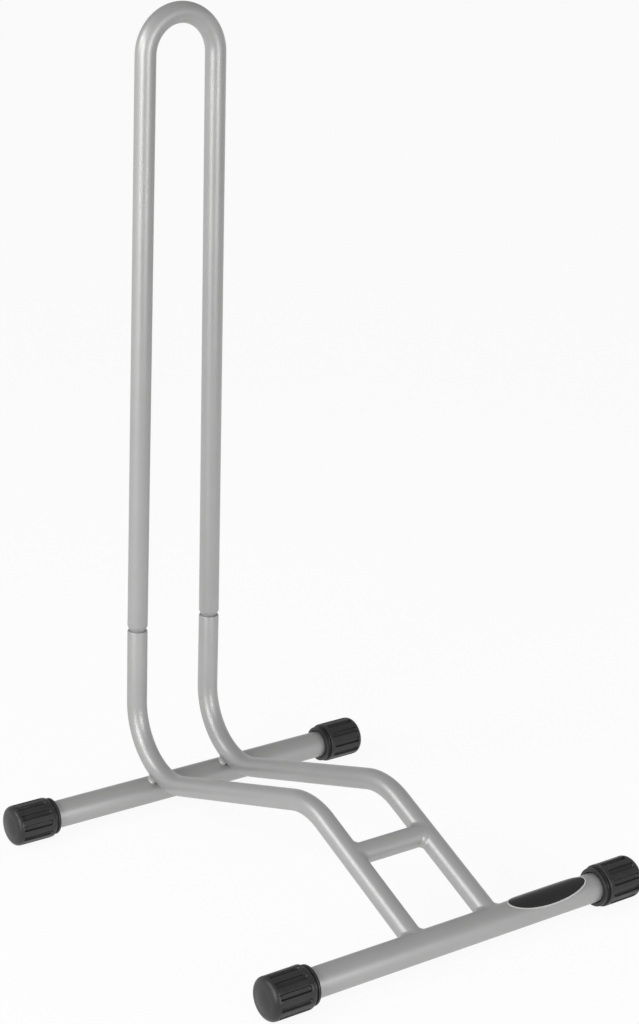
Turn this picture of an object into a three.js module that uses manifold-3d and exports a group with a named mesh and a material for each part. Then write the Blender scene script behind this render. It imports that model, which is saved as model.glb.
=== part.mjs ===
// Floor bike rack in welded steel tube: a hoop that holds the front wheel upright, plugged into two bent rails that
// carry the tyre, on two cross tubes with rubber end caps. Millimetres, +Z up, the bike comes in from -Y.
import * as THREE from "three";
import { mergeVertices } from "three/addons/utils/BufferGeometryUtils.js";
import Module from "manifold-3d";

const wasm = await Module();
wasm.setup();

// ---------------------------------------------------------------- driving dimensions
const deg = Math.PI / 180;

// Clearances
const weldedGap = 0.3; // between pieces that the welds hold together
const fitGap = 0.3; // all round a piece that is pushed on or in

// Rails and hoop: one size of tube
const tubeRadius = 9.525;
const tubeWall = 1.6;
const mouthRounding = 1.2; // at the rails' open upper ends

// Cross tubes
const crossRadius = 12.7;
const crossWall = 1.6;
const crossLength = 386;
const crossSpacing = 402; // from axis to axis

// Rails, seen from the side
const railSpacing = 80.5; // from axis to axis
const railSeat = 22.4 * deg; // where the rail lies on the rear tube, in front of its top
const lean = 2.35 * deg; // of the hoop, towards the front
const rise = 15.6 * deg; // of the wheel bed, towards the front
const fall = 26.2 * deg; // of the ramp, towards the front
const heelRadius = 61; // bend under the hoop
const humpRadius = 64; // bend between the wheel bed and the ramp
const uprightLength = 72; // from the heel bend to the mouth

// Rung between the rails
const rungRadius = 9.525;
const rungWall = 1.6;
const rungFromHump = 66; // down the ramp from the hump's corner

// Hoop
const hoopLength = 570.5; // from the rails' mouths to the axis at the hoop's top
const hoopNarrowing = 7; // the legs stand this much closer at the top
const spigotLength = 38;
const spigotChamfer = 0.8; // at its open end
const swageLength = 5; // taper from the spigot, at the mouth, to the full tube

// End caps, with walls measured from the bore
const capWall = 5.5; // at the flat of a rib
const capLength = 46;
const capEndWall = 4.2;
const capCrown = 1.4; // of the closed end
const capRounding = 3.4; // of the closed end's edge
const capRibs = 11;
const fluteRadius = 2.4;
const fluteDepth = 2.1;
const fluteStart = 3.8; // from the closed end
const fluteEnd = 37.6;
const shoulderAt = 40.6; // where the ribbed body steps down to the neck
const shoulderBevel = 1;
const neckWall = 2.4;
const lipWall = 4; // of the ring round the mouth
const lipWidth = 2.6;
const lipBevel = 0.5;

// Oval plate on the front tube
const plateFromRail = 2.7; // its near tip, from the rail's side
const plateFromCap = 12.6; // its far tip, from the cap's mouth
const plateHeight = 25.6; // measured round the tube
const plateThickness = 0.8;
const plateTilt = 13 * deg; // of its middle, from the tube's top towards the front

// Weld beads
const frontBead = 2.6;
const rungBead = 2.3;
const heelBead = { across: 3, along: 5.4, high: 3 };

// Facets
const tubeSides = 20;
const bendStep = 11 * deg;
const archStep = 12.5 * deg;
const plateSides = 44;
const seamSides = 24; // along a bead that runs all round
const beadSides = 8; // round it
const blobSides = 12;
const fluteSides = 8;

const spare = 1; // by which a cutter runs past what it cuts

// ---------------------------------------------------------------- worked out from those
const capBore = crossRadius + fitGap;
const capRadius = capBore + capWall;
const capOuterEnd = crossLength / 2 + fitGap + capEndWall;
const capMouth = capOuterEnd - capLength;
const rearAxis = new THREE.Vector2(crossSpacing / 2, capRadius); // x is the model's Y here, y its Z
const frontAxis = new THREE.Vector2(-crossSpacing / 2, capRadius);
const railX = railSpacing / 2;
const archRadius = railX - hoopNarrowing / 2;

// ---------------------------------------------------------------- solids

// A closed mesh as a manifold solid, for joining and cutting.
function solid(geometry) {
  const bare = geometry.index ? geometry.toNonIndexed() : geometry.clone();
  bare.deleteAttribute("normal");
  bare.deleteAttribute("uv");
  const merged = mergeVertices(bare, 1e-4);
  return new wasm.Manifold(
    new wasm.Mesh({
      numProp: 3,
      vertProperties: merged.attributes.position.array,
      triVerts: new Uint32Array(merged.index.array),
    }),
  );
}

function geometryOf(body) {
  const mesh = body.getMesh();
  const geometry = new THREE.BufferGeometry();
  geometry.setAttribute("position", new THREE.BufferAttribute(mesh.vertProperties, 3));
  geometry.setIndex(new THREE.BufferAttribute(mesh.triVerts, 1));
  const faceted = geometry.toNonIndexed();
  faceted.computeVertexNormals();
  return faceted;
}

// Joins rings of points into one closed skin. Rings run on into the first one where the skin closes on itself;
// otherwise the first and last ring are filled.
function skin(rings, closesOnItself) {
  const sides = rings[0].length;
  const points = rings.flat();
  const index = [];
  const last = closesOnItself ? rings.length : rings.length - 1;
  for (let r = 0; r < last; r++) {
    const next = (r + 1) % rings.length;
    for (let s = 0; s < sides; s++) {
      const t = (s + 1) % sides;
      const [a, b] = [r * sides + s, r * sides + t];
      const [c, d] = [next * sides + s, next * sides + t];
      index.push(a, b, d, a, d, c);
    }
  }
  if (!closesOnItself) {
    const end = (rings.length - 1) * sides;
    for (let s = 1; s < sides - 1; s++) {
      index.push(0, s + 1, s);
      index.push(end, end + s, end + s + 1);
    }
  }
  const geometry = new THREE.BufferGeometry().setFromPoints(points);
  geometry.setIndex(index);
  return geometry;
}

// A tube through stations { at, along, radius, wall }, all in the plane whose normal is given. Without a wall it is
// a solid bar, which serves as a cutter.
function tube(stations, normal, grown = 0) {
  const ring = ({ at, along }, radius) => {
    const outward = new THREE.Vector3().crossVectors(normal, along).normalize();
    return Array.from({ length: tubeSides }, (_, s) => {
      const turn = (2 * Math.PI * s) / tubeSides;
      return at
        .clone()
        .addScaledVector(outward, radius * Math.cos(turn))
        .addScaledVector(normal, radius * Math.sin(turn));
    });
  };
  const outer = stations.map((station) => ring(station, station.radius + grown));
  if (!stations[0].wall) return skin(outer, false);
  const inner = stations.map((station) => ring(station, station.radius - station.wall));
  return skin([...outer, ...inner.reverse()], true);
}

// ---------------------------------------------------------------- paths

// Stations along a bent tube in the plane x = 0, from a start and a heading measured from +Y towards +Z. Each leg is
// { straight } or { turn, radius }, where a positive turn is to the left.
function bentPath(start, heading, legs) {
  const at = start.clone();
  const stations = [];
  const mark = () =>
    stations.push({
      at: new THREE.Vector3(0, at.x, at.y),
      along: new THREE.Vector3(0, Math.cos(heading), Math.sin(heading)),
    });
  mark();
  for (const { straight, turn, radius } of legs) {
    if (straight !== undefined) {
      at.x += straight * Math.cos(heading);
      at.y += straight * Math.sin(heading);
      mark();
      continue;
    }
    const steps = Math.ceil(Math.abs(turn) / bendStep);
    const side = Math.sign(turn);
    const centre = at
      .clone()
      .add(new THREE.Vector2(-Math.sin(heading), Math.cos(heading)).multiplyScalar(side * radius));
    for (let i = 0; i < steps; i++) {
      heading += turn / steps;
      at.set(Math.sin(heading), -Math.cos(heading)).multiplyScalar(side * radius).add(centre);
      mark();
    }
  }
  return stations;
}

// The rail's centre line from the mouth down, round the heel, over the hump and to the front tube's axis. The heel
// bend lies against the rear tube, and the wheel bed and the ramp meet at the hump's corner.
function railLayout() {
  const heelDistance = heelRadius + tubeRadius + crossRadius + weldedGap;
  const heelCentre = new THREE.Vector2(-Math.sin(railSeat), Math.cos(railSeat))
    .multiplyScalar(heelDistance)
    .add(rearAxis);
  const downward = -Math.PI / 2 + lean;
  const bedHeading = -Math.PI - rise;
  const heelTop = new THREE.Vector2(-Math.sin(downward), Math.cos(downward))
    .multiplyScalar(heelRadius)
    .add(heelCentre);
  const mouth = heelTop
    .clone()
    .addScaledVector(new THREE.Vector2(Math.cos(downward), Math.sin(downward)), -uprightLength);
  const heelEnd = new THREE.Vector2(-Math.sin(rise), -Math.cos(rise))
    .multiplyScalar(heelRadius)
    .add(heelCentre);
  const bed = new THREE.Vector2(-Math.cos(rise), Math.sin(rise));
  const ramp = new THREE.Vector2(-Math.cos(fall), -Math.sin(fall));
  const across = frontAxis.clone().sub(heelEnd);
  const bedLength = across.cross(ramp) / bed.cross(ramp);
  const rampLength = bed.cross(across) / bed.cross(ramp);
  const hump = heelEnd.clone().addScaledVector(bed, bedLength);
  const humpTurn = rise + fall;
  const humpTangent = humpRadius * Math.tan(humpTurn / 2);
  const stations = bentPath(mouth, downward, [
    { straight: uprightLength },
    { turn: bedHeading - downward, radius: heelRadius },
    { straight: bedLength - humpTangent },
    { turn: humpTurn, radius: humpRadius },
    { straight: rampLength - humpTangent },
  ]);
  return { stations, mouth, hump, ramp };
}

const rail = railLayout();
const up = new THREE.Vector3(0, -Math.sin(lean), Math.cos(lean)); // along the hoop's legs
const rungCentre = rail.hump.clone().addScaledVector(rail.ramp, rungFromHump);

// ---------------------------------------------------------------- finishes
const paint = new THREE.MeshStandardMaterial({ color: 0xa3a4a3, roughness: 0.42, metalness: 0.35 });
const rubber = new THREE.MeshStandardMaterial({ color: 0x2b2b2c, roughness: 0.75, metalness: 0 });
const plateFinish = new THREE.MeshStandardMaterial({ color: 0x141314, roughness: 0.35, metalness: 0 });

const rack = new THREE.Group();

function add(name, body, material) {
  const mesh = new THREE.Mesh(geometryOf(body), material.clone());
  mesh.name = name;
  rack.add(mesh);
  return mesh;
}

// ---------------------------------------------------------------- tubes

const xAxis = new THREE.Vector3(1, 0, 0);

// A straight tube along X at a height and depth.
function crosswise(axis, length, radius, wall, grown = 0) {
  const stations = [-length / 2, length / 2].map((x) => ({
    at: new THREE.Vector3(x, axis.x, axis.y),
    along: xAxis,
    radius,
    wall,
  }));
  return tube(stations, new THREE.Vector3(0, 0, 1), grown);
}

// The rail's stations with their sizes: the mouth's outer edge is rounded over in two steps.
function railStations(x, wall) {
  const [first, ...rest] = rail.stations.map(({ at, along }) => ({
    at: at.clone().setX(x),
    along,
    radius: tubeRadius,
    wall,
  }));
  const rim = [0, 45 * deg, 90 * deg].map((turn) => {
    const lost = mouthRounding * (1 - Math.sin(turn));
    return {
      at: first.at.clone().addScaledVector(first.along, mouthRounding * (1 - Math.cos(turn))),
      along: first.along,
      radius: tubeRadius - lost,
      wall: wall && wall - lost,
    };
  });
  return [...rim, ...rest];
}

const frontCutter = solid(crosswise(frontAxis, crossLength, crossRadius, 0, weldedGap));
const rearCutter = solid(crosswise(rearAxis, crossLength, crossRadius, 0, weldedGap));
const railCutter = (x) => solid(tube(railStations(x, 0), xAxis, weldedGap));

function addRail(name, x) {
  const whole = solid(tube(railStations(x, tubeWall), xAxis));
  add(name, whole.subtract(frontCutter), paint);
}

function addRung() {
  const whole = solid(crosswise(rungCentre, railSpacing, rungRadius, rungWall));
  add("rung", whole.subtract(railCutter(-railX)).subtract(railCutter(railX)), paint);
}

// ---------------------------------------------------------------- hoop

// Half of the hoop as stations from the spigot's end to the start of the arch; side is -1 or 1.
function hoopLeg(side) {
  const mouth = new THREE.Vector3(side * railX, rail.mouth.x, rail.mouth.y);
  const spigotRadius = tubeRadius - tubeWall - fitGap;
  const place = (height, x = railX) => mouth.clone().addScaledVector(up, height).setX(side * x);
  return [
    { at: place(-spigotLength), radius: spigotRadius - spigotChamfer, wall: tubeWall - spigotChamfer },
    { at: place(-spigotLength + spigotChamfer), radius: spigotRadius, wall: tubeWall },
    { at: place(0), radius: spigotRadius, wall: tubeWall },
    { at: place(swageLength), radius: tubeRadius, wall: tubeWall },
    { at: place(hoopLength - archRadius, archRadius), radius: tubeRadius, wall: tubeWall },
  ].map((station) => ({ ...station, along: up.clone().multiplyScalar(-side) }));
}

function addHoop() {
  const steps = Math.ceil(Math.PI / archStep);
  const centre = new THREE.Vector3(0, rail.mouth.x, rail.mouth.y).addScaledVector(
    up,
    hoopLength - archRadius,
  );
  const arch = Array.from({ length: steps - 1 }, (_, i) => {
    const turn = (Math.PI * (i + 1)) / steps;
    return {
      at: centre
        .clone()
        .addScaledVector(xAxis, -archRadius * Math.cos(turn))
        .addScaledVector(up, archRadius * Math.sin(turn)),
      along: xAxis.clone().multiplyScalar(Math.sin(turn)).addScaledVector(up, Math.cos(turn)),
      radius: tubeRadius,
      wall: tubeWall,
    };
  });
  const normal = new THREE.Vector3().crossVectors(xAxis, up);
  add("hoop", solid(tube([...hoopLeg(-1), ...arch, ...hoopLeg(1).reverse()], normal)), paint);
}

// ---------------------------------------------------------------- end caps

// The cap's half section as [radius, distance from its closed end's crown], turned into points. Radii are to the
// facets' flats, so they are multiplied by flat to reach the corners.
function capProfile(flat) {
  const endRadius = capRadius - capRounding;
  const dome = [0, 1 / 2].map((share) => [endRadius * share, capCrown * share ** 2]);
  const rounding = [0, 30, 60, 90].map((turn) => [
    endRadius + capRounding * Math.sin(turn * deg),
    capCrown + capRounding * (1 - Math.cos(turn * deg)),
  ]);
  const neckRadius = capBore + neckWall;
  const lipRadius = capBore + lipWall;
  const outline = [
    ...dome,
    ...rounding,
    [capRadius, shoulderAt - shoulderBevel],
    [capRadius - shoulderBevel, shoulderAt],
    [neckRadius, shoulderAt + lipBevel],
    [neckRadius, capLength - lipWidth - lipBevel],
    [lipRadius, capLength - lipWidth],
    [lipRadius, capLength - lipBevel],
    [lipRadius - lipBevel, capLength],
    [capBore, capLength],
    [capBore, capEndWall],
    [0, capEndWall],
  ];
  return outline.map(([radius, depth]) => new THREE.Vector2(radius * flat, depth));
}

// One rubber cap along +Y, closed end at y = 0: a revolved body whose facets are the ribs' flats, with a flute
// between each two ribs.
function ribbedCap() {
  const facets = 2 * capRibs;
  const flat = 1 / Math.cos(Math.PI / facets);
  const turned = new THREE.LatheGeometry(capProfile(flat), facets, Math.PI / facets);
  let cap = solid(turned);
  const straight = fluteEnd - fluteStart - 2 * fluteRadius;
  for (let i = 0; i < capRibs; i++) {
    const flute = new THREE.CapsuleGeometry(fluteRadius, straight, fluteSides / 4, fluteSides);
    flute.rotateY(Math.PI / fluteSides);
    flute.translate(0, (fluteStart + fluteEnd) / 2, capRadius - fluteDepth + fluteRadius);
    flute.rotateY(((i + 0.5) * 2 * Math.PI) / capRibs);
    cap = cap.subtract(solid(flute));
  }
  return cap;
}

// The cap's own Z faces the floor: a rib is there, or a flute where the cap is pushed on half a rib round.
function addCap(name, side, axis, turn) {
  const mesh = add(name, ribbedCap(), rubber);
  mesh.rotation.set(Math.PI, turn, (side * Math.PI) / 2, "XZY");
  mesh.position.set(side * capOuterEnd, axis.x, axis.y);
}

// ---------------------------------------------------------------- oval plate

// A thin curved plate: the band round the tube that an upright oval cuts out.
function addPlate() {
  const near = railX + tubeRadius + plateFromRail;
  const far = capMouth - plateFromCap;
  const inner = crossRadius + fitGap;
  const band = tube(
    [near - spare, far + spare].map((x) => ({
      at: new THREE.Vector3(x, frontAxis.x, frontAxis.y),
      along: xAxis,
      radius: inner + plateThickness,
      wall: plateThickness,
    })),
    new THREE.Vector3(0, 0, 1),
  );
  const outline = Array.from({ length: plateSides }, (_, i) => {
    const turn = (2 * Math.PI * i) / plateSides;
    const round = (plateHeight / 2) * Math.sin(turn);
    return new THREE.Vector2(((far - near) / 2) * Math.cos(turn), inner * Math.sin(round / inner));
  });
  const cutter = new THREE.ExtrudeGeometry(new THREE.Shape(outline), {
    depth: inner + plateThickness + spare,
    bevelEnabled: false,
  });
  cutter.rotateX(plateTilt);
  cutter.translate((near + far) / 2, frontAxis.x, frontAxis.y);
  add("oval_plate", solid(band).intersect(solid(cutter)), plateFinish);
}

// ---------------------------------------------------------------- welds

// A round bead along a closed seam; each seam point has the outward normal of the tube it lies on.
function bead(seam, radius) {
  const rings = seam.map(({ at, normal }, i) => {
    const before = seam[(i + seam.length - 1) % seam.length].at;
    const after = seam[(i + 1) % seam.length].at;
    const along = after.clone().sub(before).normalize();
    const out = normal.clone().addScaledVector(along, -normal.dot(along)).normalize();
    const across = new THREE.Vector3().crossVectors(along, out);
    return Array.from({ length: beadSides }, (_, s) => {
      const turn = (2 * Math.PI * s) / beadSides;
      return at
        .clone()
        .addScaledVector(out, radius * Math.cos(turn))
        .addScaledVector(across, radius * Math.sin(turn));
    });
  });
  return skin(rings, true);
}

const rampAlong = new THREE.Vector3(0, rail.ramp.x, rail.ramp.y);
const rampUp = new THREE.Vector3().crossVectors(rampAlong, xAxis).negate(); // square to the ramp, pointing up

// Where the rail's end meets the front tube: points round the rail, each on both tubes' skins.
function frontSeam(x) {
  return Array.from({ length: seamSides }, (_, i) => {
    const turn = (2 * Math.PI * i) / seamSides;
    const height = tubeRadius * Math.sin(turn);
    const back = Math.sqrt(Math.max(crossRadius ** 2 - height ** 2, 0));
    const at = new THREE.Vector3(x + tubeRadius * Math.cos(turn), frontAxis.x, frontAxis.y)
      .addScaledVector(rampUp, height)
      .addScaledVector(rampAlong, -back);
    const normal = xAxis.clone().multiplyScalar(Math.cos(turn)).addScaledVector(rampUp, Math.sin(turn));
    return { at, normal };
  });
}

// Where the rung meets a rail. Both tubes are of one size, so the true seam turns sharply above and below, and the
// bead is led round there a little nearer to the rack's middle.
function rungSeam(side) {
  return Array.from({ length: seamSides }, (_, i) => {
    const turn = (2 * Math.PI * i) / seamSides;
    const height = rungRadius * Math.sin(turn);
    const inward = Math.sqrt(Math.max(tubeRadius ** 2 - height ** 2, 0) + rungBead ** 2);
    const at = new THREE.Vector3(side * (railX - inward), rungCentre.x, rungCentre.y)
      .addScaledVector(rampUp, height)
      .addScaledVector(rampAlong, rungRadius * Math.cos(turn));
    const normal = rampAlong.clone().multiplyScalar(Math.cos(turn)).addScaledVector(rampUp, Math.sin(turn));
    return { at, normal };
  });
}

function addFrontWeld(name, side) {
  const body = solid(bead(frontSeam(side * railX), frontBead));
  add(name, body.subtract(frontCutter).subtract(railCutter(side * railX)), paint);
}

function addRungWeld(name, side) {
  const rungCutter = solid(crosswise(rungCentre, railSpacing, rungRadius, 0, weldedGap));
  const body = solid(bead(rungSeam(side), rungBead));
  add(name, body.subtract(rungCutter).subtract(railCutter(side * railX)), paint);
}

// A short bead in the crotch beside the place where a rail lies on the rear tube, where the crotch is as high as it.
function addHeelWeld(name, side, flank) {
  const blob = new THREE.SphereGeometry(1, blobSides, beadSides);
  blob.scale(heelBead.across, heelBead.along, heelBead.high);
  blob.rotateX(railSeat);
  const away = crossRadius + weldedGap / 2;
  const fromRail = Math.sqrt(tubeRadius ** 2 - (tubeRadius - heelBead.high) ** 2);
  blob.translate(
    side * railX + flank * fromRail,
    rearAxis.x - away * Math.sin(railSeat),
    rearAxis.y + away * Math.cos(railSeat),
  );
  add(name, solid(blob).subtract(rearCutter).subtract(railCutter(side * railX)), paint);
}

// ---------------------------------------------------------------- assembly
add("rear_cross_tube", solid(crosswise(rearAxis, crossLength, crossRadius, crossWall)), paint);
add("front_cross_tube", solid(crosswise(frontAxis, crossLength, crossRadius, crossWall)), paint);
addRail("left_rail", -railX);
addRail("right_rail", railX);
addRung();
addHoop();
addPlate();
for (const [word, side] of [["left", -1], ["right", 1]]) {
  addCap("rear_" + word + "_cap", side, rearAxis, Math.PI / capRibs);
  addCap("front_" + word + "_cap", side, frontAxis, 0);
  addFrontWeld(word + "_front_weld", side);
  addRungWeld(word + "_rung_weld", side);
  addHeelWeld(word + "_heel_outer_weld", side, side);
  addHeelWeld(word + "_heel_inner_weld", side, -side);
}

// The origin is on the floor, in the middle of the rack's outline.
const box = new THREE.Box3().setFromObject(rack, true);
const middle = box.getCenter(new THREE.Vector3());
rack.position.set(-middle.x, -middle.y, -box.min.z);

export default rack;
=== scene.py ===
# Floor bike rack in silver powder-coated steel tube: a tall hoop plugged into two bent rails, which lie on
# two cross tubes with ribbed rubber caps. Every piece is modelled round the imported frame, in metres.
import math

import bpy
from mathutils import Matrix, Vector


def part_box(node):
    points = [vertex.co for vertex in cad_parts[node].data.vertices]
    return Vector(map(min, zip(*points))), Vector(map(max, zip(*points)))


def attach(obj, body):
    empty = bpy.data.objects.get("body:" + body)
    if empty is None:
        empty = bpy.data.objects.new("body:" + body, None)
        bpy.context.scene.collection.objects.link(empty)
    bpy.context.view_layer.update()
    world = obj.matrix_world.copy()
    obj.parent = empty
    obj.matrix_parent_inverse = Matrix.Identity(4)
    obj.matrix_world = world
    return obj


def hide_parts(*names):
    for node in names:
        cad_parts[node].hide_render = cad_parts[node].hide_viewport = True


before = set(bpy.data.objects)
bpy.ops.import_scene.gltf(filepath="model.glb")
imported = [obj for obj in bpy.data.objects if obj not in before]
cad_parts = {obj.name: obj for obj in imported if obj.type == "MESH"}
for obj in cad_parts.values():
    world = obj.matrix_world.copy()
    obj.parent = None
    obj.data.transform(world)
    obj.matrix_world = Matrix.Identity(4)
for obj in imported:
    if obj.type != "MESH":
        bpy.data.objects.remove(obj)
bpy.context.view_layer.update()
scene = bpy.context.scene
print("frame loaded:", len(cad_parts), "nodes")

weldedGap = 0.0003  # left between pieces that are welded together
fitGap = 0.0003  # round what is pushed on or in
xAxis = Vector((1, 0, 0))


def middleOf(node):
    low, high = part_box(node)
    return (low + high) / 2


def extentOf(node):
    low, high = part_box(node)
    return high - low


def selectOnly(piece):
    if bpy.context.object and bpy.context.object.mode != "OBJECT":
        bpy.ops.object.mode_set(mode="OBJECT")
    bpy.ops.object.select_all(action="DESELECT")
    if piece:
        piece.select_set(True)
        bpy.context.view_layer.objects.active = piece


def editVertices(piece, wanted):
    # edit mode, with only the vertices selected whose place is wanted
    selectOnly(piece)
    bpy.ops.object.mode_set(mode="EDIT")
    bpy.ops.mesh.select_mode(type="VERT")
    bpy.ops.mesh.select_all(action="DESELECT")
    bpy.ops.object.mode_set(mode="OBJECT")
    for vertex in piece.data.vertices:
        vertex.select = wanted(vertex.co)
    bpy.ops.object.mode_set(mode="EDIT")


def editFaces(piece, wanted):
    # edit mode, with only the faces selected whose middle is wanted
    selectOnly(piece)
    bpy.ops.object.mode_set(mode="EDIT")
    bpy.ops.mesh.select_mode(type="FACE")
    bpy.ops.mesh.select_all(action="DESELECT")
    bpy.ops.object.mode_set(mode="OBJECT")
    for face in piece.data.polygons:
        face.select = wanted(face.center)
    bpy.ops.object.mode_set(mode="EDIT")


def applyTransforms(piece):
    selectOnly(piece)
    bpy.ops.object.transform_apply(location=True, rotation=True, scale=True)


def faceOutwards(piece):
    selectOnly(piece)
    bpy.ops.object.mode_set(mode="EDIT")
    bpy.ops.mesh.select_all(action="SELECT")
    bpy.ops.mesh.remove_doubles(threshold=0.000001)
    bpy.ops.mesh.normals_make_consistent(inside=False)
    bpy.ops.object.mode_set(mode="OBJECT")


def flipFaces(piece):
    selectOnly(piece)
    bpy.ops.object.mode_set(mode="EDIT")
    bpy.ops.mesh.select_all(action="SELECT")
    bpy.ops.mesh.flip_normals()
    bpy.ops.object.mode_set(mode="OBJECT")


def applyModifier(piece, kind, **settings):
    selectOnly(piece)
    modifier = piece.modifiers.new(kind.lower(), kind)
    for name, value in settings.items():
        setattr(modifier, name, value)
    bpy.ops.object.modifier_apply(modifier=modifier.name)


def cutAway(piece, cutter):
    applyModifier(piece, "BOOLEAN", operation="DIFFERENCE", solver="EXACT", object=cutter)


def copyOf(piece, name):
    selectOnly(piece)
    bpy.ops.object.duplicate(linked=False)
    twin = bpy.context.object
    twin.name = name
    twin.data.name = name
    return twin


def finishPiece(piece, body, nodes, material, smoothBelow=32):
    applyTransforms(piece)
    bpy.ops.object.shade_smooth_by_angle(angle=math.radians(smoothBelow))
    if not piece.data.materials:
        piece.data.materials.append(material)
    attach(piece, body)
    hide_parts(*nodes)


# fitted to the tube edges in the photograph
camera = {
    "aim": (-0.00793, -0.02557, 0.33882),
    "azimuth": -36.493,  # degrees from straight in front, towards the rack's left
    "elevation": 16.365,
    "roll": 0.456,
    "distance": 1.9606,
    "lens": 81.315,
    "sensor": 36,
}


def addCamera():
    azimuth = math.radians(camera["azimuth"])
    elevation = math.radians(camera["elevation"])
    roll = math.radians(camera["roll"])
    back = Vector((math.sin(azimuth), -math.cos(azimuth), 0)) * math.cos(elevation)
    back.z = math.sin(elevation)
    right = Vector((math.cos(azimuth), math.sin(azimuth), 0))
    up = back.cross(right)
    turn = Matrix((right, up, back)).transposed() @ Matrix.Rotation(roll, 3, "Z")
    place = Vector(camera["aim"]) + back * camera["distance"]
    bpy.ops.object.camera_add(location=place, rotation=turn.to_euler())
    eye = bpy.context.object
    eye.name = "photoCamera"
    eye.data.lens = camera["lens"]
    eye.data.sensor_width = camera["sensor"]
    scene.camera = eye


def newFinish(name):
    material = bpy.data.materials.new(name)
    material.use_nodes = True
    nodes = material.node_tree.nodes
    nodes.clear()
    output = nodes.new("ShaderNodeOutputMaterial")
    shader = nodes.new("ShaderNodeBsdfPrincipled")
    material.node_tree.links.new(shader.outputs["BSDF"], output.inputs["Surface"])
    return material, shader


noiseLow, noiseHigh = 0.3, 0.7  # hardly any of the noise lies beyond these


def addNoise(material, size, detail):
    # cloudy noise with blotches of about this size, in metres, fixed to the piece
    tree = material.node_tree
    place = tree.nodes.new("ShaderNodeTexCoord")
    noise = tree.nodes.new("ShaderNodeTexNoise")
    noise.inputs["Scale"].default_value = 1 / size
    noise.inputs["Detail"].default_value = detail
    tree.links.new(place.outputs["Object"], noise.inputs["Vector"])
    return noise.outputs["Fac"]


def addSpread(tree, value, fromRange, toRange):
    # carries a value from one range over to another
    spread = tree.nodes.new("ShaderNodeMapRange")
    spread.inputs["From Min"].default_value, spread.inputs["From Max"].default_value = fromRange
    spread.inputs["To Min"].default_value, spread.inputs["To Max"].default_value = toRange
    tree.links.new(value, spread.inputs["Value"])
    return spread.outputs["Result"]


def setRoughness(material, shader, noise, roughness):
    spread = addSpread(material.node_tree, noise, (noiseLow, noiseHigh), roughness)
    material.node_tree.links.new(spread, shader.inputs["Roughness"])


powderCoat = {
    "colour": (0.396, 0.398, 0.393),
    "darker": (0.373, 0.375, 0.370),  # in broad, faint clouds
    "cloudSize": 0.05,
    "metallic": 0.55,
    "roughness": (0.40, 0.48),
    "peelSize": 0.0016,  # orange peel
    "peelDepth": 0.000009,
    "flakeSize": 0.0005,
    "flakeDepth": 0.000002,
}

rubber = {
    "colour": (0.012, 0.012, 0.013),
    "paler": (0.018, 0.018, 0.018),
    "cloudSize": 0.012,
    "roughness": (0.34, 0.46),
    "grainSize": 0.0006,
    "grainDepth": 0.00003,
    "gloss": 0.45,
}

plateFilm = {
    "colour": (0.012, 0.011, 0.012),
    "border": (0.48, 0.48, 0.47),
    "roughness": (0.26, 0.34),
    "smearSize": 0.010,
    "gloss": 0.4,
}


def colourBetween(material, factor, one, other):
    ramp = material.node_tree.nodes.new("ShaderNodeValToRGB")
    ramp.color_ramp.elements[0].position = noiseLow
    ramp.color_ramp.elements[0].color = (*one, 1)
    ramp.color_ramp.elements[1].position = noiseHigh
    ramp.color_ramp.elements[1].color = (*other, 1)
    material.node_tree.links.new(factor, ramp.inputs["Fac"])
    return ramp.outputs["Color"]


def addBump(material, shader, height, depth, under=None):
    bump = material.node_tree.nodes.new("ShaderNodeBump")
    bump.inputs["Distance"].default_value = depth
    material.node_tree.links.new(height, bump.inputs["Height"])
    if under:
        material.node_tree.links.new(under, bump.inputs["Normal"])
    material.node_tree.links.new(bump.outputs["Normal"], shader.inputs["Normal"])
    return bump.outputs["Normal"]


def makePowderCoat():
    material, shader = newFinish("silverPowderCoat")
    clouds = addNoise(material, powderCoat["cloudSize"], 3)
    colour = colourBetween(material, clouds, powderCoat["darker"], powderCoat["colour"])
    material.node_tree.links.new(colour, shader.inputs["Base Color"])
    shader.inputs["Metallic"].default_value = powderCoat["metallic"]
    peel = addNoise(material, powderCoat["peelSize"], 2)
    setRoughness(material, shader, peel, powderCoat["roughness"])
    peeled = addBump(material, shader, peel, powderCoat["peelDepth"])
    flakes = addNoise(material, powderCoat["flakeSize"], 1)
    addBump(material, shader, flakes, powderCoat["flakeDepth"], peeled)
    return material


def makeRubber():
    material, shader = newFinish("blackRubber")
    clouds = addNoise(material, rubber["cloudSize"], 4)
    colour = colourBetween(material, clouds, rubber["colour"], rubber["paler"])
    material.node_tree.links.new(colour, shader.inputs["Base Color"])
    setRoughness(material, shader, clouds, rubber["roughness"])
    shader.inputs["Specular IOR Level"].default_value = rubber["gloss"]
    grain = addNoise(material, rubber["grainSize"], 3)
    addBump(material, shader, grain, rubber["grainDepth"])
    return material


def makePlateFilm(name, colour):
    material, shader = newFinish(name)
    shader.inputs["Base Color"].default_value = (*colour, 1)
    smears = addNoise(material, plateFilm["smearSize"], 3)
    setRoughness(material, shader, smears, plateFilm["roughness"])
    shader.inputs["Specular IOR Level"].default_value = plateFilm["gloss"]
    return material


def startRing(name, centre, heading, radius, sides):
    # an open ring of edges round a heading, selected in edit mode
    selectOnly(None)
    turn = heading.to_track_quat("Z", "Y").to_euler()
    bpy.ops.mesh.primitive_circle_add(
        vertices=sides, radius=radius, fill_type="NOTHING", location=centre, rotation=turn
    )
    ring = bpy.context.object
    ring.name = name
    ring.data.name = name
    applyTransforms(ring)
    bpy.ops.object.mode_set(mode="EDIT")
    bpy.ops.mesh.select_mode(type="VERT")
    bpy.ops.mesh.select_all(action="SELECT")
    return ring


def drawOut(offset):
    bpy.ops.mesh.extrude_region_move(TRANSFORM_OT_translate={"value": offset})


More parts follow.
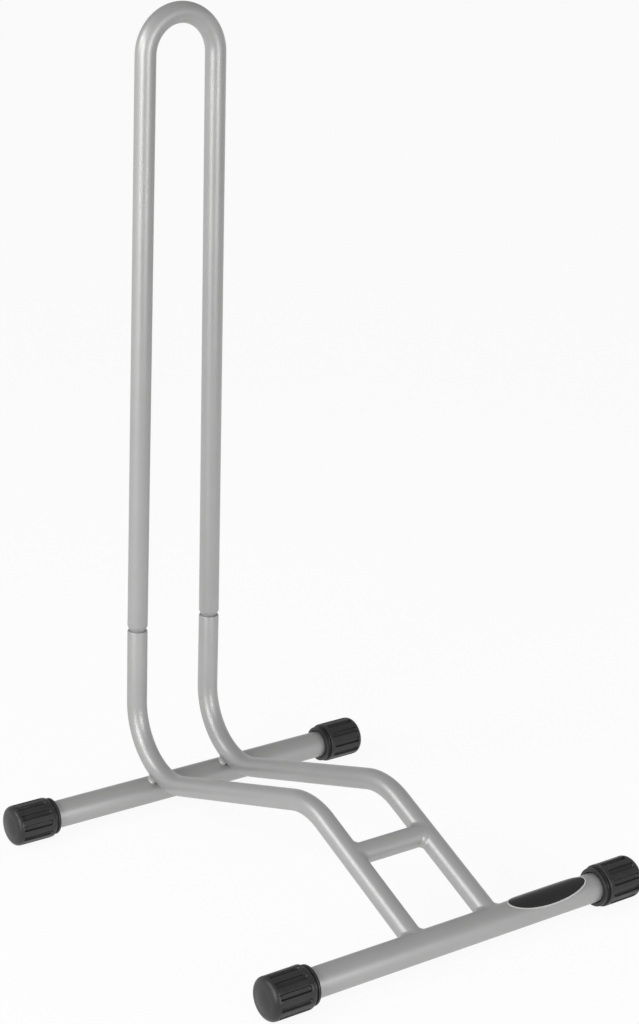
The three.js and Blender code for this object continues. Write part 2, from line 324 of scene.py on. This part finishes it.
def widen(factor, centre):
    bpy.ops.transform.resize(value=(factor, factor, factor), center_override=centre)


def bendRound(centre, axis, degrees, step):
    # the spin operator turns against the right-hand rule
    steps = math.ceil(abs(degrees) / step)
    bpy.ops.mesh.spin(steps=steps, angle=-math.radians(degrees), center=centre, axis=axis)


def giveWall(piece, wall):
    faceOutwards(piece)
    applyModifier(piece, "SOLIDIFY", thickness=wall, offset=-1, use_even_offset=True)


def roundRim(piece, centre, radius, rounding):
    # rounds over the outer edge of an open end
    tolerance = 0.00002

    def onRim(place):
        return abs((place - centre).length - radius) < tolerance

    editVertices(piece, onRim)
    bpy.ops.mesh.bevel(offset=rounding, segments=5, profile=0.5, affect="EDGES")
    bpy.ops.object.mode_set(mode="OBJECT")


def straightBar(name, start, end, radius, sides):
    # a closed bar, to cut with
    bar = startRing(name, start, end - start, radius, sides)
    drawOut(end - start)
    selectOnly(bar)
    bpy.ops.object.mode_set(mode="EDIT")
    bpy.ops.mesh.select_all(action="SELECT")
    bpy.ops.mesh.fill_holes(sides=0)
    faceOutwards(bar)
    return bar


crossTube = {
    "radius": extentOf("rear_cross_tube").z / 2,
    "length": extentOf("rear_cross_tube").x,
    "wall": 0.0016,
    "sides": 96,
    "rounding": 0.0003,
}
rearAxis = middleOf("rear_cross_tube")
frontAxis = middleOf("front_cross_tube")


def makeCrossTube(name, axis):
    half = xAxis * crossTube["length"] / 2
    tube = startRing(name, axis - half, xAxis, crossTube["radius"], crossTube["sides"])
    drawOut(2 * half)
    giveWall(tube, crossTube["wall"])
    for end in (axis - half, axis + half):
        roundRim(tube, end, crossTube["radius"], crossTube["rounding"])
    return tube


rail = {
    "radius": extentOf("right_rail").x / 2,
    "middle": middleOf("right_rail").x,
    "wall": 0.0016,
    "seatAngle": 22.4,  # degrees in front of the rear tube's top, where the heel lies on it
    "lean": 2.35,
    "rise": 15.6,
    "fall": 26.2,
    "heelRadius": 0.061,
    "humpRadius": 0.064,
    "uprightLength": 0.072,
    "mouthRounding": 0.0012,
    "sides": 72,
    "bendStep": 2.5,
}


def crossInSide(one, other):
    # the cross product of two directions in the side view
    return one.y * other.z - one.z * other.y


def railRoute():
    # the rail's centre line at x = 0, from its mouth to the front tube's axis
    seat, lean, rise, fall = (math.radians(rail[key]) for key in ("seatAngle", "lean", "rise", "fall"))
    heelDistance = rail["heelRadius"] + rail["radius"] + crossTube["radius"] + weldedGap
    heelCentre = rearAxis + heelDistance * Vector((0, -math.sin(seat), math.cos(seat)))
    down = Vector((0, math.sin(lean), -math.cos(lean)))
    bed = Vector((0, -math.cos(rise), math.sin(rise)))
    ramp = Vector((0, -math.cos(fall), -math.sin(fall)))
    heelTop = heelCentre + rail["heelRadius"] * Vector((0, math.cos(lean), math.sin(lean)))
    heelEnd = heelCentre + rail["heelRadius"] * Vector((0, -math.sin(rise), -math.cos(rise)))
    across = frontAxis - heelEnd
    bedLength = crossInSide(across, ramp) / crossInSide(bed, ramp)
    rampLength = crossInSide(bed, across) / crossInSide(bed, ramp)
    tangent = rail["humpRadius"] * math.tan((rise + fall) / 2)
    humpStart = heelEnd + bed * (bedLength - tangent)
    return {
        "mouth": heelTop - down * rail["uprightLength"],
        "down": down,
        "heelCentre": heelCentre,
        "heelTurn": -(90 + rail["rise"] + rail["lean"]),
        "bed": bed,
        "bedLength": bedLength - tangent,
        "humpCentre": humpStart + rail["humpRadius"] * Vector((0, -math.sin(rise), -math.cos(rise))),
        "humpTurn": rail["rise"] + rail["fall"],
        "hump": heelEnd + bed * bedLength,
        "ramp": ramp,
        "rampLength": rampLength - tangent,
    }


route = railRoute()
rampUp = xAxis.cross(route["ramp"])  # square to the ramp
if rampUp.z < 0:
    rampUp.negate()


def makeRail(name, x):
    aside = xAxis * x
    tube = startRing(name, route["mouth"] + aside, route["down"], rail["radius"], rail["sides"])
    drawOut(route["down"] * rail["uprightLength"])
    bendRound(route["heelCentre"] + aside, xAxis, route["heelTurn"], rail["bendStep"])
    drawOut(route["bed"] * route["bedLength"])
    bendRound(route["humpCentre"] + aside, xAxis, route["humpTurn"], rail["bendStep"])
    drawOut(route["ramp"] * route["rampLength"])
    giveWall(tube, rail["wall"])
    roundRim(tube, route["mouth"] + aside, rail["radius"], rail["mouthRounding"])
    half = xAxis * rail["radius"] * 2
    cutter = straightBar(
        "copeCutter",
        frontAxis + aside - half,
        frontAxis + aside + half,
        crossTube["radius"] + weldedGap,
        crossTube["sides"],
    )
    cutAway(tube, cutter)
    bpy.data.objects.remove(cutter)
    return tube


rung = {
    "radius": extentOf("rung").z / 2,
    "wall": 0.0016,
    "fromHump": 0.066,  # down the ramp
    "sides": 72,
}
rungCentre = route["hump"] + route["ramp"] * rung["fromHump"]


def makeRung():
    half = xAxis * rail["middle"]
    tube = startRing("rungTube", rungCentre - half, xAxis, rung["radius"], rung["sides"])
    drawOut(2 * half)
    giveWall(tube, rung["wall"])
    reach = route["ramp"] * rung["radius"] * 2
    for side in (-1, 1):
        middle = rungCentre + half * side
        cutter = straightBar(
            "copeCutter", middle - reach, middle + reach, rail["radius"] + weldedGap, rail["sides"]
        )
        cutAway(tube, cutter)
        bpy.data.objects.remove(cutter)
    return tube


hoop = {
    "length": 0.5705,  # from the rails' mouths to the axis at the top
    "narrowing": 0.007,  # the legs stand this much closer at the top
    "spigotLength": 0.038,
    "spigotChamfer": 0.0008,
    "swageLength": 0.005,  # the taper from the spigot, at the mouth, to the full tube
    "swageSteps": 10,
    "sides": 72,
    "archStep": 2.5,
}


def drawShoulder(start, along, fromRadius, toRadius):
    # the rounded step between the spigot and the full tube
    steps = hoop["swageSteps"]
    radius = fromRadius
    for step in range(1, steps + 1):
        share = step / steps
        drawOut(along * hoop["swageLength"] / steps)
        eased = (share + (1 - math.cos(math.pi * share)) / 2) / 2
        wanted = fromRadius + (toRadius - fromRadius) * eased
        widen(wanted / radius, start + along * hoop["swageLength"] * share)
        radius = wanted


def makeHoop():
    up = -route["down"]
    archRadius = rail["middle"] - hoop["narrowing"] / 2
    spigotRadius = rail["radius"] - rail["wall"] - fitGap
    leftMouth = route["mouth"] - xAxis * rail["middle"]
    rightMouth = route["mouth"] + xAxis * rail["middle"]
    legRise = hoop["length"] - archRadius - hoop["swageLength"]
    inward = xAxis * (rail["middle"] - archRadius)

    tube = startRing("hoopTube", leftMouth - up * hoop["spigotLength"], up, spigotRadius, hoop["sides"])
    drawOut(up * hoop["spigotLength"])
    drawShoulder(leftMouth, up, spigotRadius, rail["radius"])
    drawOut(up * legRise + inward)
    archCentre = route["mouth"] + up * (hoop["length"] - archRadius)
    bendRound(archCentre, up.cross(xAxis), 180, hoop["archStep"])
    drawOut(-up * legRise + inward)
    drawShoulder(rightMouth + up * hoop["swageLength"], -up, rail["radius"], spigotRadius)
    drawOut(-up * hoop["spigotLength"])
    giveWall(tube, rail["wall"])
    for mouth in (leftMouth, rightMouth):
        roundRim(tube, mouth - up * hoop["spigotLength"], spigotRadius, hoop["spigotChamfer"])
    return tube


cap = {
    "bore": crossTube["radius"] + fitGap,
    "radius": rearAxis.z,  # to the flat of a rib
    "length": 0.046,
    "endWall": 0.0042,
    "crown": 0.0014,
    "crownRings": (0.06, 0.3, 0.55, 0.8),  # of the crown's radius
    "roundingAcross": 0.0080,  # of the closed end's corner
    "roundingAlong": 0.0052,
    "roundingSteps": 5,
    "ribs": 11,
    "sidesPerRib": 8,
    "fluteHalf": 0.25,  # half a flute's width, of the ribs' pitch
    "fluteStart": 0.0072,
    "fluteEnd": 0.0372,
    "fluteRings": (0, 0.14, 0.38, 0.62, 0.86, 1),  # of the flutes' length
    "fluteRoundness": 0.0016,  # how much further in a flute's corners lie than the middle of its ends
    "fluteInsets": ((0.00030, 0.0009), (0.00040, 0.0009), (0.00050, 0.0004)),  # [width, depth] of each
    "shoulderAt": 0.0406,
    "shoulderBevel": 0.0010,
    "neckWall": 0.0024,
    "lipWall": 0.0040,
    "lipWidth": 0.0026,
    "boreRing": 0.1,  # the last ring in the bore's end, of the bore
    "edge": 0.0004,  # half width of an edge that stays crisp when the mesh is smoothed
}


def capProfile():
    # (radius, depth behind the crown) of each ring, from the crown's middle out, along the ribs to the mouth
    # and down the bore
    endRadius = cap["radius"] - cap["roundingAcross"]
    neck = cap["bore"] + cap["neckWall"]
    lip = cap["bore"] + cap["lipWall"]
    lipAt = cap["length"] - cap["lipWidth"]
    bevel = cap["shoulderBevel"]
    corner = bevel * 0.3  # how far the bevel's rounded middle lies inside the corner
    edge = cap["edge"]
    profile = [(endRadius * share, cap["crown"] * share**2) for share in cap["crownRings"]]
    for step in range(cap["roundingSteps"] + 1):
        turn = math.radians(90 * step / cap["roundingSteps"])
        out = cap["roundingAcross"] * math.sin(turn)
        profile.append((endRadius + out, cap["crown"] + cap["roundingAlong"] * (1 - math.cos(turn))))
    run = cap["fluteEnd"] - cap["fluteStart"]
    profile += [(cap["radius"], cap["fluteStart"] + run * share) for share in cap["fluteRings"]]
    profile += [
        (cap["radius"], cap["shoulderAt"] - bevel),
        (cap["radius"] - corner, cap["shoulderAt"] - corner),
        (cap["radius"] - bevel, cap["shoulderAt"]),
        (neck + edge, cap["shoulderAt"]),
        (neck, cap["shoulderAt"] + edge),
        (neck, lipAt - edge),
        (neck + edge, lipAt),
        (lip - edge, lipAt),
        (lip, lipAt + edge),
        (lip, cap["length"] - edge),
        (lip - edge, cap["length"]),
        (cap["bore"] + edge, cap["length"]),
        (cap["bore"], cap["length"] - edge),
        (cap["bore"], cap["endWall"] + edge),
        (cap["bore"] - edge, cap["endWall"]),
        (cap["bore"] * cap["boreRing"], cap["endWall"]),
    ]
    return profile


def ribShare(place):
    # how far round a place is from the middle of its nearest flute, from 0 to 0.5 of a rib's pitch
    turn = math.atan2(place.y, place.z) / (2 * math.pi / cap["ribs"])
    return abs(turn - round(turn))


def radiusOf(place):
    return math.hypot(place.y, place.z)


def makeCap(name):
    # a cap at the origin, its closed end towards +X and a flute at its top
    profile = capProfile()
    sides = cap["ribs"] * cap["sidesPerRib"]
    body = startRing(name, -xAxis * profile[0][1], xAxis, profile[0][0], sides)
    for (radiusBefore, depthBefore), (radius, depth) in zip(profile, profile[1:]):
        drawOut(-xAxis * (depth - depthBefore))
        widen(radius / radiusBefore, -xAxis * depth)
    bpy.ops.mesh.select_all(action="SELECT")
    bpy.ops.mesh.fill_holes(sides=0)
    faceOutwards(body)

    # the ribs are flat, so their edges stand further out than their middles
    near = 0.02  # of the pitch
    start, end = cap["fluteStart"], cap["fluteEnd"]
    rim = cap["fluteHalf"]
    for share in (rim, (rim + 0.5) / 2):
        reach = 1 / math.cos((0.5 - share) * 2 * math.pi / cap["ribs"])

        def onLand(place):
            outside = radiusOf(place) > cap["radius"] - cap["edge"] / 2 and -place.x < cap["shoulderAt"]
            return outside and -place.x > start - cap["edge"] and abs(ribShare(place) - share) < near

        editVertices(body, onLand)
        bpy.ops.transform.resize(value=(1, reach, reach), center_override=(0, 0, 0))
        bpy.ops.object.mode_set(mode="OBJECT")

    # the flutes' ends are round
    for depth, way in ((start, -1), (end, 1)):
        for share, shift in ((rim, 1), (rim / 2, 0.27)):

            def onEnd(place):
                atEnd = abs(-place.x - depth) < cap["edge"] / 2 and radiusOf(place) > cap["bore"]
                return atEnd and abs(ribShare(place) - share) < near

            editVertices(body, onEnd)
            bpy.ops.transform.translate(value=xAxis * way * shift * cap["fluteRoundness"])
            bpy.ops.object.mode_set(mode="OBJECT")

    def inFlute(middle):
        onSkin = radiusOf(middle) > cap["radius"] * 0.98
        return start < -middle.x < end and onSkin and ribShare(middle) < rim

    editFaces(body, inFlute)
    for width, depth in cap["fluteInsets"]:
        bpy.ops.mesh.inset(thickness=width, depth=-depth, use_even_offset=False)
    bpy.ops.object.mode_set(mode="OBJECT")
    applyModifier(body, "SUBSURF", levels=2, render_levels=2)
    return body


def placeCap(master, name, node, turn):
    # pushes a copy on to the tube's end, turned round the tube
    low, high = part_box(node)
    side = 1 if low.x > 0 else -1
    twin = copyOf(master, name)
    twin.rotation_euler = (turn, 0, 0 if side > 0 else math.pi)
    twin.location = (high.x if side > 0 else low.x, (low.y + high.y) / 2, (low.z + high.z) / 2)
    finishPiece(twin, "base", [node], blackRubber, smoothBelow=60)


ovalPlate = {
    "length": extentOf("oval_plate").x,
    "height": 0.0256,  # measured round the tube
    "thickness": 0.0008,
    "tilt": 13,  # degrees from the tube's top towards the front
    "border": 0.0012,
    "sides": 120,
    "rings": 14,
}


def makeOvalPlate():
    # an oval standing in the plane y = 0, drawn in ring by ring, then bent round the tube
    across, upwards = ovalPlate["length"] / 2, ovalPlate["height"] / 2
    selectOnly(None)
    bpy.ops.mesh.primitive_circle_add(
        vertices=ovalPlate["sides"], radius=1, fill_type="NOTHING", rotation=(math.pi / 2, 0, 0)
    )
    plate = bpy.context.object
    plate.name = plate.data.name = "ovalPlate"
    plate.scale = (across, upwards, 1)
    applyTransforms(plate)
    bpy.ops.object.mode_set(mode="EDIT")
    bpy.ops.mesh.select_mode(type="VERT")
    bpy.ops.mesh.select_all(action="SELECT")
    size = (across, upwards)
    inner = (across - ovalPlate["border"], upwards - ovalPlate["border"])
    for step in range(ovalPlate["rings"] + 1):
        share = 1 - step / (ovalPlate["rings"] + 0.5)
        wanted = (inner[0] * share, inner[1] * share)
        bpy.ops.mesh.extrude_region()
        shrink = (wanted[0] / size[0], 1, wanted[1] / size[1])
        bpy.ops.transform.resize(value=shrink, center_override=(0, 0, 0))
        size = wanted
    bpy.ops.mesh.edge_face_add()
    tubeSkin = crossTube["radius"] + fitGap
    applyModifier(
        plate, "SIMPLE_DEFORM", deform_method="BEND", deform_axis="X", angle=ovalPlate["height"] / tubeSkin
    )
    # it bends towards +Y, so its face is turned from -Y up to the tilt, round the tube's axis
    plate.location = (0, -tubeSkin, 0)
    applyTransforms(plate)
    low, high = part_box("oval_plate")
    plate.rotation_euler = (-math.radians(90 - ovalPlate["tilt"]), 0, 0)
    plate.location = ((low.x + high.x) / 2, frontAxis.y, frontAxis.z)
    applyTransforms(plate)
    for material in (plateBlack, plateBorder):
        plate.data.materials.append(material)
    for face in plate.data.polygons:
        aside = face.center.x - (low.x + high.x) / 2
        onBorder = math.hypot(aside / inner[0], arcHeight(face.center) / inner[1]) > 1
        face.material_index = 1 if onBorder else 0
    faceAway(plate)
    applyModifier(plate, "SOLIDIFY", thickness=ovalPlate["thickness"], offset=1, use_even_offset=True)
    return plate


def arcHeight(place):
    # how far up a place is from the plate's middle, measured round the tube
    turn = math.atan2(-(place.y - frontAxis.y), place.z - frontAxis.z) - math.radians(ovalPlate["tilt"])
    return turn * (crossTube["radius"] + fitGap)


def faceAway(plate):
    # an open sheet has no outside, so its faces are first made to agree, then turned away from the tube
    selectOnly(plate)
    bpy.ops.object.mode_set(mode="EDIT")
    bpy.ops.mesh.select_all(action="SELECT")
    bpy.ops.mesh.normals_make_consistent(inside=False)
    bpy.ops.object.mode_set(mode="OBJECT")
    face = plate.data.polygons[0]
    outward = face.center - frontAxis
    if face.normal.dot(Vector((0, outward.y, outward.z))) < 0:
        flipFaces(plate)


weld = {
    "frontLeg": 0.0045,  # along each tube, at the rails' sides
    "frontLegSmall": 0.0034,  # at their tops and undersides
    "rungLeg": 0.0040,
    "rungEase": 0.0023,
    "sunk": 0.00008,  # of its edges under the tubes' skins
    "rootSunk": 0.00032,
    "handle": 0.62,  # how far the hollow curve follows each skin, of the leg
    "crown": 0.00025,
    "waves": 34,  # round a seam
    "waveHeight": 0.00004,
    "wobble": ((0.04, 5, 0), (0.02, 11, 1)),  # of the legs: (share, waves round the seam, start)
    "around": 144,
    "across": 14,
}


def loftSkin(name, rings, closesOnItself):
    # a skin over rings of points; unless it closes on itself, its first and last ring are filled
    sides = len(rings[0])
    count = len(rings)
    faces = []
    for ring in range(count if closesOnItself else count - 1):
        following = (ring + 1) % count
        for side in range(sides):
            nextSide = (side + 1) % sides
            corners = (ring, side), (ring, nextSide), (following, nextSide), (following, side)
            faces.append([row * sides + place for row, place in corners])
    if not closesOnItself:
        faces.append(list(range(sides)))
        faces.append([(count - 1) * sides + side for side in range(sides)])
    mesh = bpy.data.meshes.new(name)
    mesh.from_pydata([point for ring in rings for point in ring], [], faces)
    skin = bpy.data.objects.new(name, mesh)
    scene.collection.objects.link(skin)
    faceOutwards(skin)
    # a thin hollow fillet can come out of that inside out, and then its volume is negative
    volume = sum(face.center.dot(face.normal) * face.area for face in skin.data.polygons) / 3
    if volume < 0:
        flipFaces(skin)
    return skin


def filletSection(root, toeOne, toeTwo, alongOne, alongTwo, outward, lift):
    # from one tube's skin to the other's in a hollow curve that leaves both flush, then back through the root
    count = weld["across"]
    handleOne = toeOne.lerp(toeOne - alongOne, weld["handle"])
    handleTwo = toeTwo.lerp(toeTwo - alongTwo, weld["handle"])
    points = []
    for step in range(count):
        share = step / (count - 1)
        rest = 1 - share
        point = (
            toeOne * rest**3
            + handleOne * 3 * rest**2 * share
            + handleTwo * 3 * rest * share**2
            + toeTwo * share**3
        )
        points.append(point + outward * lift * math.sin(math.pi * share) ** 2)
    points.append(root)
    return points


def onSkin(point, axisPoint, axis, radius):
    # the nearest point at this radius round a tube's axis
    along = axis * (point - axisPoint).dot(axis)
    away = point - axisPoint - along
    return axisPoint + along + away.normalized() * radius


def seamWeld(name, seamAt, tubeOne, tubeTwo, legAt):
    # tubeOne and tubeTwo are (point on the axis, axis, radius); tubeOne's end meets tubeTwo's side
    rings = []
    for step in range(weld["around"]):
        turn = 2 * math.pi * step / weld["around"]
        place, outOne, alongOne = seamAt(turn)
        pointTwo, axisTwo, radiusTwo = tubeTwo
        away = place - pointTwo
        outTwo = (away - axisTwo * away.dot(axisTwo)).normalized()
        alongTwo = (outOne - outTwo * outOne.dot(outTwo)).normalized()
        wobble = sum(share * math.sin(waves * turn + start) for share, waves, start in weld["wobble"])
        leg = legAt(turn) * (1 + wobble)
        toeOne = onSkin(place + alongOne * leg, *tubeOne[:2], tubeOne[2] - weld["sunk"])
        toeTwo = onSkin(place + alongTwo * leg, pointTwo, axisTwo, radiusTwo - weld["sunk"])
        outward = (outOne + outTwo).normalized()
        root = place - outward * weld["rootSunk"]
        lift = weld["crown"] + weld["waveHeight"] * math.sin(weld["waves"] * turn)
        rings.append(filletSection(root, toeOne, toeTwo, alongOne * leg, alongTwo * leg, outward, lift))
    return loftSkin(name, rings, True)


def makeFrontWeld(name, side):
    # round the end of a rail, on the front tube
    x = side * rail["middle"]
    onAxis = frontAxis + xAxis * x

    def seamAt(turn):
        height = rail["radius"] * math.sin(turn)
        back = math.sqrt(crossTube["radius"] ** 2 - height**2)
        aside = xAxis * rail["radius"] * math.cos(turn)
        out = xAxis * math.cos(turn) + rampUp * math.sin(turn)
        return onAxis + aside + rampUp * height - route["ramp"] * back, out, -route["ramp"]

    def legAt(turn):
        small = weld["frontLegSmall"]
        return small + (weld["frontLeg"] - small) * math.cos(turn) ** 2

    railTube = (onAxis, route["ramp"], rail["radius"])
    return seamWeld(name, seamAt, railTube, (frontAxis, xAxis, crossTube["radius"]), legAt)


def makeRungWeld(name, side):
    # round an end of the rung, against a rail; both tubes are of one size, so the seam is eased where they
    # are flush
    onAxis = rungCentre + xAxis * side * rail["middle"]
    inwards = -xAxis * side

    def seamAt(turn):
        height = rung["radius"] * math.sin(turn)
        back = math.sqrt(rail["radius"] ** 2 - height**2 + weld["rungEase"] ** 2)
        along = route["ramp"] * rung["radius"] * math.cos(turn)
        out = route["ramp"] * math.cos(turn) + rampUp * math.sin(turn)
        return onAxis + inwards * back + rampUp * height + along, out, inwards

    rungTube = (rungCentre, xAxis, rung["radius"])
    railTube = (onAxis, route["ramp"], rail["radius"])
    return seamWeld(name, seamAt, rungTube, railTube, lambda turn: weld["rungLeg"])


heelWeld = {
    "halfLength": 0.0050,
    "endRoundness": 0.6,
    "toe": 0.0106,  # on the rear tube, from the rail's middle plane
    "toeAtEnds": 0.25,  # what is left of the toe's reach there
    "climb": 62,  # degrees up the rail's side from its underside
    "climbAtEnds": 0.62,  # what is left of the climb there
    "legShare": 0.75,  # of the distance between the toes
    "root": 0.0058,
    "rootHeight": 0.0006,  # above the rear tube
    "crown": 0.0006,
    "ripples": 6,
    "rippleHeight": 0.00008,
    "stations": 60,
}


def makeHeelWeld(name, side, flank):
    # a short bead in the crotch where a rail lies on the rear tube, drawn section by section along the rail
    seat = math.radians(rail["seatAngle"])
    outward = Vector((0, -math.sin(seat), math.cos(seat)))  # from the rear tube to the rail
    forwards = Vector((0, -math.cos(seat), -math.sin(seat)))
    aside = xAxis * flank
    onRear = rearAxis + xAxis * side * rail["middle"]
    bendRadius = rail["heelRadius"]
    rings = []
    for station in range(heelWeld["stations"] + 1):
        along = heelWeld["halfLength"] * (2 * station / heelWeld["stations"] - 1)
        share = along / heelWeld["halfLength"]
        size = math.sqrt(max(1 - share**2, 0)) ** heelWeld["endRoundness"]
        rearHeight = math.sqrt((crossTube["radius"] - weld["sunk"]) ** 2 - along**2)
        lift = bendRadius - math.sqrt(bendRadius**2 - along**2)
        railHeight = crossTube["radius"] + weldedGap + rail["radius"] + lift
        base = onRear + forwards * along
        skin = rail["radius"] - weld["sunk"]

        def onRail(degrees):
            turn = math.radians(degrees)
            return base + aside * skin * math.sin(turn) + outward * (railHeight - skin * math.cos(turn))

        root = base + aside * heelWeld["root"] + outward * (crossTube["radius"] + heelWeld["rootHeight"])
        toeShare = heelWeld["toeAtEnds"] + (1 - heelWeld["toeAtEnds"]) * size
        toeReach = heelWeld["root"] + (heelWeld["toe"] - heelWeld["root"]) * toeShare
        toeOne = base + outward * rearHeight + aside * toeReach
        climb = heelWeld["climb"] * (heelWeld["climbAtEnds"] + (1 - heelWeld["climbAtEnds"]) * size)
        toeTwo = onRail(climb)
        climbWay = (onRail(climb + 1) - toeTwo).normalized()
        leg = (toeOne - toeTwo).length * heelWeld["legShare"]
        ripple = heelWeld["rippleHeight"] * math.cos(math.pi * heelWeld["ripples"] * share)
        crown = (heelWeld["crown"] + ripple) * size
        away = (aside + outward).normalized()
        rings.append(filletSection(root, toeOne, toeTwo, aside * leg, climbWay * leg, away, crown))
    return loftSkin(name, rings, False)


studio = {
    "floorRadius": 30,
    "floorSides": 96,
    "floorDrop": 0.0002,  # below the caps
    "floorColour": (0.88, 0.88, 0.88),
    "floorGlow": 0.92,  # how much of the floor's white doesn't take the rack's shadow
    "floorDimFrom": -0.22,  # in front of here the floor's reflection fades
    "floorDimTo": -0.50,
    "floorDim": 0.4,
    "skyLow": 1.0,
    "skyHigh": 0.46,
    "skyHighFrom": 0.42,  # height of the direction from which the room is that dim
    "lampAim": 0.85,  # the greatest height at which a lamp is aimed
}


def emptyTree(owner):
    # the node tree of a new material or world, with nothing in it
    owner.use_nodes = True
    owner.node_tree.nodes.clear()
    return owner.node_tree


def addMath(tree, operation, one, other):
    node = tree.nodes.new("ShaderNodeMath")
    node.operation = operation
    tree.links.new(one, node.inputs[0])
    tree.links.new(other, node.inputs[1])
    return node.outputs[0]


def addCoordinate(tree, system, axis):
    place = tree.nodes.new("ShaderNodeTexCoord")
    parts = tree.nodes.new("ShaderNodeSeparateXYZ")
    tree.links.new(place.outputs[system], parts.inputs[0])
    return parts.outputs[axis]


def whiteFor(tree, level, *rayKinds):
    # the level, but 1 for rays of these kinds
    rays = tree.nodes.new("ShaderNodeLightPath")
    for kind in rayKinds:
        ray = rays.outputs[f"Is {kind} Ray"]
        level = addMath(tree, "MAXIMUM", level, ray) if level else ray
    return level


def makeFloor():
    selectOnly(None)
    bpy.ops.mesh.primitive_circle_add(
        vertices=studio["floorSides"], radius=studio["floorRadius"], fill_type="NGON"
    )
    floor = bpy.context.object
    floor.name = floor.data.name = "studioFloor"
    floor.location.z = -studio["floorDrop"]
    applyTransforms(floor)
    material = bpy.data.materials.new("paleFloor")
    tree = emptyTree(material)
    output = tree.nodes.new("ShaderNodeOutputMaterial")
    lit = tree.nodes.new("ShaderNodeBsdfDiffuse")
    lit.inputs["Color"].default_value = (*studio["floorColour"], 1)

    # the camera sees white all over, and what reflects the floor sees it fade in front
    glow = tree.nodes.new("ShaderNodeEmission")
    depth = addCoordinate(tree, "Object", "Y")
    dimOver = (studio["floorDimTo"], studio["floorDimFrom"])
    fade = addSpread(tree, depth, dimOver, (studio["floorDim"], 1))
    tree.links.new(whiteFor(tree, fade, "Camera"), glow.inputs["Strength"])

    blend = tree.nodes.new("ShaderNodeMixShader")
    share = tree.nodes.new("ShaderNodeMath")
    share.operation = "MULTIPLY"
    share.inputs[1].default_value = studio["floorGlow"]
    tree.links.new(whiteFor(tree, None, "Camera", "Glossy", "Transmission"), share.inputs[0])
    tree.links.new(share.outputs[0], blend.inputs["Fac"])
    tree.links.new(lit.outputs[0], blend.inputs[1])
    tree.links.new(glow.outputs[0], blend.inputs[2])
    tree.links.new(blend.outputs[0], output.inputs["Surface"])
    floor.data.materials.append(material)


def makeSky():
    # white all round at the height of the floor, dimmer above; the camera sees it white everywhere
    world = bpy.data.worlds.new("studioRoom")
    scene.world = world
    tree = emptyTree(world)
    output = tree.nodes.new("ShaderNodeOutputWorld")
    room = tree.nodes.new("ShaderNodeBackground")
    room.inputs["Color"].default_value = (1, 1, 1, 1)
    height = addCoordinate(tree, "Generated", "Z")
    level = addSpread(tree, height, (0, studio["skyHighFrom"]), (studio["skyLow"], studio["skyHigh"]))
    tree.links.new(whiteFor(tree, level, "Camera"), room.inputs["Strength"])
    tree.links.new(room.outputs[0], output.inputs["Surface"])


# all turned towards the rack; a direction is 0 degrees in front and 90 on the rack's right
lamps = {
    "leftSoftbox": {"direction": -72, "distance": 2.1, "height": 0.85, "size": (0.8, 1.5), "watts": 25},
    "rightSoftbox": {"direction": 0, "distance": 2.3, "height": 0.5, "size": (0.8, 0.9), "watts": 18},
    "sideLamp": {"direction": -108, "distance": 2.0, "height": 1.6, "size": (0.6, 0.6), "watts": 15},
}


def addLamps():
    for name, lamp in lamps.items():
        turn = math.radians(lamp["direction"])
        distance = lamp["distance"]
        place = Vector((math.sin(turn) * distance, -math.cos(turn) * distance, lamp["height"]))
        aim = Vector((0, 0, min(lamp["height"], studio["lampAim"])))
        facing = (aim - place).to_track_quat("-Z", "Y").to_euler()
        bpy.ops.object.light_add(type="AREA", location=place, rotation=facing)
        box = bpy.context.object
        box.name = name
        box.data.shape = "RECTANGLE"
        box.data.size, box.data.size_y = lamp["size"]
        box.data.energy = lamp["watts"]


addCamera()
paint = makePowderCoat()
blackRubber = makeRubber()
plateBlack = makePlateFilm("plateBlack", plateFilm["colour"])
plateBorder = makePlateFilm("plateBorder", plateFilm["border"])
print("camera and finishes made")

for name, axis, node in (
    ("rearCrossTube", rearAxis, "rear_cross_tube"),
    ("frontCrossTube", frontAxis, "front_cross_tube"),
):
    finishPiece(makeCrossTube(name, axis), "base", [node], paint)
for name, side, node in (("leftRail", -1, "left_rail"), ("rightRail", 1, "right_rail")):
    finishPiece(makeRail(name, side * rail["middle"]), "base", [node], paint)
finishPiece(makeRung(), "base", ["rung"], paint)
finishPiece(makeHoop(), "hoop", ["hoop"], paint)
print("tubes made")

masterCap = makeCap("ribbedCap")
halfRib = math.pi / cap["ribs"]
for name, node, turn in (
    ("rearLeftCap", "rear_left_cap", halfRib),
    ("frontLeftCap", "front_left_cap", 0),
    ("rearRightCap", "rear_right_cap", halfRib),
    ("frontRightCap", "front_right_cap", 0),
):
    placeCap(masterCap, name, node, turn)
bpy.data.objects.remove(masterCap)
print("caps made")

plate = makeOvalPlate()
finishPiece(plate, "base", ["oval_plate"], plateBlack)
print("plate made")

for word, side in (("left", -1), ("right", 1)):
    frontWeld = makeFrontWeld(word + "FrontWeld", side)
    finishPiece(frontWeld, "base", [word + "_front_weld"], paint, smoothBelow=50)
    rungWeld = makeRungWeld(word + "RungWeld", side)
    finishPiece(rungWeld, "base", [word + "_rung_weld"], paint, smoothBelow=50)
    for place, flank in (("Outer", side), ("Inner", -side)):
        heel = makeHeelWeld(word + "Heel" + place + "Weld", side, flank)
        node = word + "_heel_" + place.lower() + "_weld"
        finishPiece(heel, "base", [node], paint, smoothBelow=50)
print("welds made")

makeFloor()
makeSky()
addLamps()
scene.view_settings.view_transform = "Standard"
print("floor, room and lamps made")
